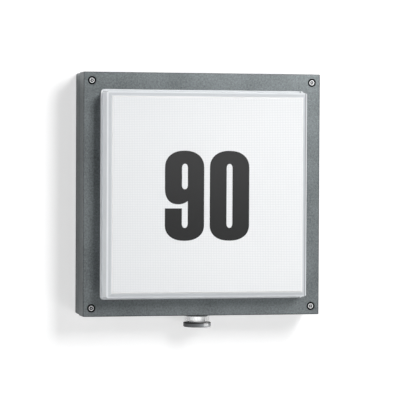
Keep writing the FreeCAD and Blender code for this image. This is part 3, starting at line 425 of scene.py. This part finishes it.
anthracite = powder_coat()
print(anthracite.name, "has", len(anthracite.node_tree.nodes), "nodes")

# %% [markdown]
# ## Opal diffuser
#
# The diffuser is moulded from opal acrylic: white and a little glossy. Its flat face has a fine square grid
# moulded into it, 2.1 mm from line to line, which hides the lamps behind. Only the face has the grid, so the
# bevel and the walls stay smooth. Light and shade on the bevel are painted into its colour as bands at a set
# distance from the middle: a painted highlight along the face's edge, painted shade over the bevel and a
# painted line of shade at its foot on the right. The face is painted a little greyer towards its left, top
# and bottom, as painted shade over a random cloud of tone.

# %% The moulded grid
GRID_PITCH = 2.1 * MM
FIELD_HALF = 120.4 * MM
PLATEAU_HALF = 121.5 * MM
BEVEL_FOOT = 125.2 * MM


def grid_lines(place):
    """Narrow ridges at the grid's pitch: a wave to the third power."""
    wave = (place * (2 * math.pi / GRID_PITCH)).wave()
    return wave.math("POWER", wave, 3)


print("about", round(2 * FIELD_HALF / GRID_PITCH), "lines each way")


# %% Opal acrylic
def opal_acrylic():
    finish = Finish("opal_acrylic")
    across = finish.place("X")
    up = finish.place("Z")
    depth = finish.place("Y")
    reach = across.size().most(up.size())
    cloud = finish.noise(14, detail=3)
    on_field = (reach < FIELD_HALF) * (depth < face_front + 0.1 * MM)
    grid = grid_lines(across).most(grid_lines(up)) * on_field
    # Painted shade: the face is greyer towards its left, top and bottom; the cloud adds a random tone.
    fade = across.step(-150 * MM, 50 * MM) * 0.75 + cloud * 0.25 - up.size().step(80 * MM, 130 * MM) * 0.35
    sheet = finish.blend(fade, (0.83, 0.842, 0.852, 1), (0.93, 0.938, 0.945, 1))
    face = finish.blend(grid * 0.8, sheet, (0.7, 0.72, 0.74, 1))
    # Painted shade: a darker band over the bevel, from the face's edge to past its foot.
    slope = reach.band(PLATEAU_HALF, PLATEAU_HALF + 2.4 * MM, BEVEL_FOOT, BEVEL_FOOT + 2.0 * MM)
    walls = finish.blend(slope, (0.8, 0.825, 0.85, 1), (0.6, 0.625, 0.65, 1))
    # Painted shade: a dark line at the bevel's foot, on the right side only.
    foot = across.band(
        BEVEL_FOOT - 0.6 * MM, BEVEL_FOOT + 0.2 * MM, BEVEL_FOOT + 1.0 * MM, BEVEL_FOOT + 1.8 * MM
    )
    walls = finish.blend(foot * 0.8, walls, (0.3, 0.31, 0.325, 1))
    off_face = reach.step(PLATEAU_HALF - 0.6 * MM, PLATEAU_HALF + 0.6 * MM)
    # Painted highlight: a bright line along the face's edge, near the front of the rim.
    painted_highlight = reach.band(
        PLATEAU_HALF - 1.4 * MM, PLATEAU_HALF - 0.6 * MM, PLATEAU_HALF + 0.2 * MM, PLATEAU_HALF + 1.0 * MM
    )
    painted_highlight = painted_highlight * (depth < rim_front + 1.0 * MM)
    colour = finish.blend(painted_highlight, finish.blend(off_face, face, walls), (0.97, 0.975, 0.98, 1))
    finish.surface(Base_Color=colour, Roughness=0.2 + cloud * 0.08 + on_field * 0.2, IOR=1.49)
    lip = reach.step(PLATEAU_HALF - 0.9 * MM, PLATEAU_HALF + 0.5 * MM) * (depth < rim_front + 0.6 * MM)
    rounded = finish.bump(1 - lip, 0.8 * MM)
    finish.surface(Normal=finish.bump(grid, 0.12 * MM, 0.6, rounded))
    return finish.material


opal = opal_acrylic()
print(opal.name, "has", len(opal.node_tree.nodes), "nodes")

# %% [markdown]
# ## Finishes of the small parts
#
# Moulded plastics, rubber, boards and wires share one recipe: a colour with a faint mottle, a fine grain
# as bump, and a gloss that varies a little. Only the numbers differ. Metal small parts get fine scratches
# in place of the mottle.

# %% Moulded plastics and plated metals
def tinted(colour, share):
    """The colour made darker or lighter, with its alpha."""
    return tuple(min(1, c * share) for c in colour) + (1,)


def moulded(name, colour, rough, mottle=0.12, **constants):
    """A plastic, rubber or paint with a faint mottle and a fine grain."""
    finish = Finish(name)
    cloud = finish.noise(120, detail=3)
    shade = finish.blend(cloud, tinted(colour, 1 - mottle), tinted(colour, 1 + mottle))
    finish.surface(Base_Color=shade, Roughness=rough + (cloud - 0.5) * 0.12)
    finish.surface(Normal=finish.bump(finish.noise(900), 0.02 * MM, 0.5), **constants)
    return finish.material


def plated(name, colour, rough):
    """A bright metal with fine scratches that run in all directions."""
    finish = Finish(name)
    scratch = finish.noise(2200, detail=4, roughness=0.7)
    shade = finish.blend(finish.noise(300), tinted(colour, 0.82), tinted(colour, 1))
    finish.surface(Base_Color=shade, Metallic=1.0, Roughness=rough + scratch * 0.15)
    finish.surface(Normal=finish.bump(scratch, 0.01 * MM, 0.4))
    return finish.material


zinc = plated("zinc_plate", (0.66, 0.67, 0.66), 0.28)
nickel = plated("nickel_plate", (0.7, 0.69, 0.66), 0.22)
print(zinc.name, "and", nickel.name, "are ready")

# %% [markdown]
# ## Stainless cover screws
#
# The screws have a six-lobed recess round a pin, so that an ordinary key doesn't turn them. In the picture a
# head is six pixels wide. The recess is drawn into the finish as painted shade, near black with a bump: its
# outline is a circle whose radius swells six times on its way round, which is a cosine of six times the
# angle.
# Towards the rim the head is painted dark too, as painted shade and reflection from the dark recess of the
# frame round it.

# %% Bright stainless with a recess
LOBES = 6
PIN_RADIUS = 0.7 * MM
RECESS_RADIUS = 2.15 * MM
LOBE_HEIGHT = 0.4 * MM


def drive_screws():
    finish = Finish("bright_stainless")
    across, up, away = from_screw(finish)
    outline = (up.angle(across) * LOBES).cosine() * LOBE_HEIGHT + RECESS_RADIUS
    recess = (away > PIN_RADIUS) * (away < outline)
    # Painted shade: the recess and the head's rim are painted near black.
    dark = recess.most(away.step(3.0 * MM, 3.4 * MM))
    shade = finish.blend(dark, (0.82, 0.83, 0.84, 1), (0.015, 0.015, 0.016, 1))
    scratch = finish.noise(1800, detail=3, roughness=0.6)
    finish.surface(Base_Color=shade, Metallic=1.0, Roughness=0.32 + scratch * 0.2)
    finish.surface(Normal=finish.bump(1 - recess, 0.3 * MM, 0.8, finish.bump(scratch, 0.02 * MM, 0.5)))
    return finish.material


stainless = drive_screws()
print(stainless.name, "has", len(stainless.node_tree.nodes), "nodes")

# %% [markdown]
# ## Clear barrel
#
# The sensor looks out through a clear tube. Real refraction would show the dark inside of the housing in
# it, while the photograph shows a bright tube. So the plastic is nearly see-through in its middle and gets
# more solid where it turns away from the eye, which a Layer Weight node tells, so that its white shows there
# as a painted reflection. Faint white streaks, painted reflections as well, run down it there, drawn by the
# angle round the tube's own middle.

# %% Clear polycarbonate
REFLECTION_STREAKS = 20
barrel_low, barrel_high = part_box("sensor_barrel")
BARREL_MIDDLE = (barrel_low.y + barrel_high.y) / 2


def clear_plastic():
    finish = Finish("clear_polycarbonate")
    ripple = finish.noise(160, detail=1)
    colour = (0.95, 0.965, 0.97)
    # Painted reflection: the tube's white shows where it turns away and in streaks there.
    rim = finish.node("ShaderNodeLayerWeight", sockets={"Blend": 0.3}, out="Facing")
    turned = finish.place("X").angle(finish.place("Y") - BARREL_MIDDLE)
    painted_streak = (turned * REFLECTION_STREAKS).sine().step(0.3, 0.9)
    shade = finish.blend(ripple, tinted(colour, 0.98), tinted(colour, 1))
    finish.surface(Base_Color=shade, Roughness=0.06 + ripple * 0.04, IOR=1.58)
    finish.surface(Alpha=0.03 + rim * (painted_streak * 0.25 + 0.12), Normal=finish.bump(ripple, 0.03 * MM, 0.3))
    return finish.material


clear = clear_plastic()
print(clear.name, "turns about depth", round(BARREL_MIDDLE / MM, 2), "mm")

# %% [markdown]
# ## Cap and dials
#
# The cap closes the barrel and has fine lines round it from its mould. Its top edge is painted near black, as
# painted shade where the barrel meets it.
# Each dial has a slot for a screwdriver. What lies higher than the dial's face, which is the slot's floor and
# the sides in the pocket, is painted dark as painted shade. A height doesn't change as the dial turns, so the
# painted shade stays in the slot.

# %% Satin cap and slotted dials
CAP_LINE_PITCH = 0.9 * MM
CAP_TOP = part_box("sensor_cap")[1].z
DIAL_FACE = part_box("time_dial")[0].z


def cap_plastic():
    finish = Finish("satin_cap")
    up = finish.place("Z")
    cloud = finish.noise(200)
    lines = (up * (2 * math.pi / CAP_LINE_PITCH)).wave()
    # Painted shade: the cap's top edge, where the barrel meets it, is near black.
    painted_joint_shade = up.step(CAP_TOP - 1.6 * MM, CAP_TOP - 0.9 * MM)
    shade = finish.blend(lines * 0.5 + cloud * 0.3, (0.1, 0.108, 0.112, 1), (0.15, 0.16, 0.165, 1))
    shade = finish.blend(painted_joint_shade, shade, (0.008, 0.008, 0.009, 1))
    finish.surface(Base_Color=shade, Roughness=0.42 + cloud * 0.08 + painted_joint_shade * 0.2, Coat_Weight=0.3)
    finish.surface(Normal=finish.bump(lines, 0.03 * MM, 0.3))
    return finish.material


def dial_plastic():
    finish = Finish("dial_grey")
    cloud = finish.noise(150, detail=3)
    # Painted shade: the slot and the pocket's sides are near black.
    slot = finish.place("Z") > DIAL_FACE + 0.5 * MM
    shade = finish.blend(cloud, (0.46, 0.48, 0.49, 1), (0.54, 0.56, 0.57, 1))
    shade = finish.blend(slot, shade, (0.03, 0.03, 0.032, 1))
    finish.surface(Base_Color=shade, Roughness=0.4 + cloud * 0.1)
    finish.surface(Normal=finish.bump(finish.noise(900), 0.02 * MM, 0.5))
    return finish.material


cap_grey = cap_plastic()
dial_grey = dial_plastic()
print("the cap's top is at", round(CAP_TOP / MM, 2), "mm")
print("the dials' faces are at", round(DIAL_FACE / MM, 2), "mm")

# %% [markdown]
# ## Plain colours
#
# The rest only needs a colour and a gloss. Most of it is inside the light: the white tray and boards that
# throw the light forward, the driver, the terminal, the wires and their insulation.

# %% The plain finishes
lens_white = moulded("white_lens", (0.93, 0.935, 0.94), 0.4, mottle=0.02)
body_grey = moulded("satin_grey", (0.12, 0.13, 0.135), 0.34, mottle=0.08)
rubber = moulded("black_rubber", (0.006, 0.006, 0.0065), 0.75, mottle=0.3, Specular_IOR_Level=0.15)
reflector = moulded("white_coat", (0.86, 0.87, 0.87), 0.35, mottle=0.03)
white_mask = moulded("white_board", (0.82, 0.83, 0.82), 0.45, mottle=0.04)
green_mask = moulded("green_board", (0.03, 0.2, 0.09), 0.35, mottle=0.15)
phosphor = moulded("yellow_phosphor", (0.85, 0.66, 0.16), 0.3, mottle=0.06)
case_white = moulded("white_case", (0.76, 0.77, 0.77), 0.5, mottle=0.04)
terminal_cream = moulded("cream_polyamide", (0.74, 0.73, 0.67), 0.5, mottle=0.05)
setting_blue = moulded("blue_case", (0.04, 0.16, 0.45), 0.45, mottle=0.08)
brown_wire = moulded("brown_insulation", (0.2, 0.09, 0.04), 0.4, mottle=0.1)
green_wire = moulded("green_insulation", (0.12, 0.36, 0.05), 0.4, mottle=0.1)
white_wire = moulded("white_insulation", (0.8, 0.8, 0.78), 0.4, mottle=0.03)
print(len(bpy.data.materials), "finishes so far")

# %% [markdown]
# ## Which solid wears which finish
#
# A solid from CAD keeps its shape and only gets a better material in its slot.

# %% Dress the solids
worn = [
    (anthracite, ["rear_housing", "front_frame"]),
    (opal, ["diffuser"]),
    (clear, ["sensor_barrel", "light_detector"]),
    (lens_white, ["sensor_lens"]),
    (cap_grey, ["sensor_cap"]),
    (body_grey, ["sensor_body", "sensor_nut"]),
    (stainless, ["cover_screws"]),
    (zinc, ["diffuser_clips", "clip_screws", "tray_screws", "board_screws", "driver_screws"]),
    (zinc, ["clamp_screws", "earth_screw", "terminal_screws", "setting_board_screws"]),
    (nickel, ["heat_detector"]),
    (rubber, ["frame_seal", "diffuser_seal", "cable_grommet", "sensor_seal", "dial_seals", "screw_seals"]),
    (reflector, ["gear_tray"]),
    (white_mask, ["led_board_1", "led_board_2", "led_board_3", "led_board_4"]),
    (green_mask, ["sensor_board", "setting_board"]),
    (phosphor, ["leds_1", "leds_2", "leds_3", "leds_4"]),
    (case_white, ["led_driver"]),
    (terminal_cream, ["terminal_block", "cable_clamp"]),
    (setting_blue, ["potentiometers"]),
    (dial_grey, ["time_dial", "twilight_dial"]),
    (brown_wire, ["supply_leads"]),
    (green_wire, ["earth_lead"]),
    (white_wire, ["led_lead", "board_links", "sensor_lead", "detector_lead"]),
]
dressed = []
for material, names in worn:
    for name in names:
        piece = nodes[name]
        if not piece.material_slots:
            piece.data.materials.append(material)
        for slot in piece.material_slots:
            slot.material = material
        dressed.append(name)
print("dressed", len(dressed), "of", len(nodes), "nodes; left over:", sorted(set(nodes) - set(dressed)))

# %% [markdown]
# ## The house number
#
# The figures are cut from thin dark grey film and stuck on the face. Each one is a flat outline with long
# narrow openings, so it is drawn as a closed Bezier curve, which rounds its corners as a type designer
# does. Two outlines in one curve leave the opening empty. The curve then becomes a mesh and is moved to
# the face. The figures are measured in millimetres from the middle of the face.

# %% Film
FILM_THICKNESS = 0.15 * MM
FIGURE_LOW = -57.03
FIGURE_HIGH = 54.84


def vinyl_film():
    finish = Finish("grey_film")
    up = finish.place("Z")
    # The film is darker towards the bottom of the figures.
    fade = up.step(-57 * MM, 55 * MM)
    grain = finish.noise(700, detail=3)
    shade = finish.blend(fade + (grain - 0.5) * 0.12, (0.016, 0.0165, 0.017, 1), (0.032, 0.032, 0.033, 1))
    finish.surface(Base_Color=shade, Roughness=0.5 + grain * 0.1, Specular_IOR_Level=0.3)
    finish.surface(Normal=finish.bump(grain, 0.01 * MM, 0.4))
    return finish.material


film = vinyl_film()
print("the figures are", round(FIGURE_HIGH - FIGURE_LOW, 1), "mm high")


# %% Outlines with round corners
CORNER_FULLNESS = 0.6
BODY_CORNERS = (24.0, 19.0, 20.5)
SLOT_CORNERS = (3.79, 5.4, 5.4)


def round_box(left, right, low, high, corners):
    """A closed outline with elliptic corners, as rows of a point, its handle in and its handle out."""
    wide, tall_low, tall_high = corners
    rows = []
    sides = [
        ((left, low), (0, tall_low), (wide, 0)),
        ((right, low), (-wide, 0), (0, tall_low)),
        ((right, high), (0, -tall_high), (-wide, 0)),
        ((left, high), (wide, 0), (0, -tall_high)),
    ]
    for (x, z), (ax, az), (bx, bz) in sides:
        first = (x + ax, z + az)
        last = (x + bx, z + bz)
        rows.append((first, first, (first[0] - ax * CORNER_FULLNESS, first[1] - az * CORNER_FULLNESS)))
        rows.append((last, (last[0] - bx * CORNER_FULLNESS, last[1] - bz * CORNER_FULLNESS), last))
    return rows


print("a corner's handles go", CORNER_FULLNESS, "of the way to where its sides would meet")


# %% A figure of film
def film_figure(name, outlines):
    """A piece of film on the face, cut along the outlines."""
    curve = bpy.data.curves.new(name, "CURVE")
    curve.dimensions = "2D"
    curve.fill_mode = "BOTH"
    curve.resolution_u = 10
    curve.extrude = FILM_THICKNESS / 2
    for rows in outlines:
        spline = curve.splines.new("BEZIER")
        spline.bezier_points.add(len(rows) - 1)
        spline.use_cyclic_u = True
        for point, (place, way_in, way_out) in zip(spline.bezier_points, rows):
            point.co = (place[0] * MM, place[1] * MM, 0)
            point.handle_left = (way_in[0] * MM, way_in[1] * MM, 0)
            point.handle_right = (way_out[0] * MM, way_out[1] * MM, 0)
    shape = bpy.data.objects.new(name + "_outline", curve)
    mesh = bpy.data.meshes.new_from_object(shape)
    bpy.data.objects.remove(shape)
    mesh.name = name
    upright = Matrix.Rotation(math.radians(90), 4, "X")
    mesh.transform(Matrix.Translation((0, face_front - FILM_THICKNESS / 2, 0)) @ upright)
    mesh.materials.clear()
    mesh.materials.append(film)
    piece = bpy.data.objects.new(name, mesh)
    bpy.context.scene.collection.objects.link(piece)
    return piece


# %% The zero
SHIFT = 0.2
SLOT_HIGH = 38.68
zero_body = round_box(1.78 + SHIFT, 52.3 + SHIFT, FIGURE_LOW, FIGURE_HIGH, BODY_CORNERS)
zero_slot = round_box(23.2 + SHIFT, 30.78 + SHIFT, -41.09, SLOT_HIGH, SLOT_CORNERS)
zero = film_figure("figure_zero", [zero_body, zero_slot])
print("zero:", len(zero.data.polygons), "faces,", [round(1000 * d, 1) for d in zero.dimensions], "mm")

# %% [markdown]
# ## The nine
#
# The nine has the zero's body and a short slot above. Its lower slot opens to the left, so it belongs to the
# outline, which runs from the body's left side in under the bowl, down the slot, round its end and out again
# over the tail. Where both handles lie in the point itself, the outline has a sharp corner.

# %% The nine
nine_left = -55.43 + SHIFT
nine_right = -5.51 + SHIFT
slot_left = -33.9 + SHIFT
slot_right = -26.3 + SHIFT
slot_middle = (slot_left + slot_right) / 2
bowl_low = -11.7
tail_top = -16.82
slot_end = -41.1
slot_turn = slot_end + 5.4
slot_round = slot_end + 2.2
nine_body = round_box(nine_left, nine_right, FIGURE_LOW, FIGURE_HIGH, BODY_CORNERS)
open_slot = [
    ((nine_left, 8.0), (nine_left, 8.0), (nine_left, -5.0)),
    ((-38.6, bowl_low), (-49.0, bowl_low), (-33.6, bowl_low)),
    ((slot_right, -7.6), (-29.2, -10.2), (slot_right, -7.6)),
    ((slot_right, slot_turn), (slot_right, slot_turn), (slot_right, slot_round)),
    ((slot_middle, slot_end), (slot_right - 1.7, slot_end), (slot_left + 1.7, slot_end)),
    ((slot_left, slot_turn), (slot_left, slot_round), (slot_left, slot_turn)),
    ((slot_left, tail_top), (slot_left, tail_top), (slot_left, tail_top)),
    ((nine_left, tail_top), (nine_left, tail_top), (nine_left, tail_top)),
]
nine_slot = round_box(slot_left, slot_right, 6.95, SLOT_HIGH, SLOT_CORNERS)
nine = film_figure("figure_nine", [nine_body[1:] + open_slot + nine_body[:1], nine_slot])
print("nine:", len(nine.data.polygons), "faces,", [round(1000 * d, 1) for d in nine.dimensions], "mm")

# %% [markdown]
# ## Everything moves with its solid
#
# A new piece rides on a body of the mechanism.

# %% Ride on a body
for figure in (zero, nine):
    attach(figure, "light")
    print(figure.name, "rides on the light")
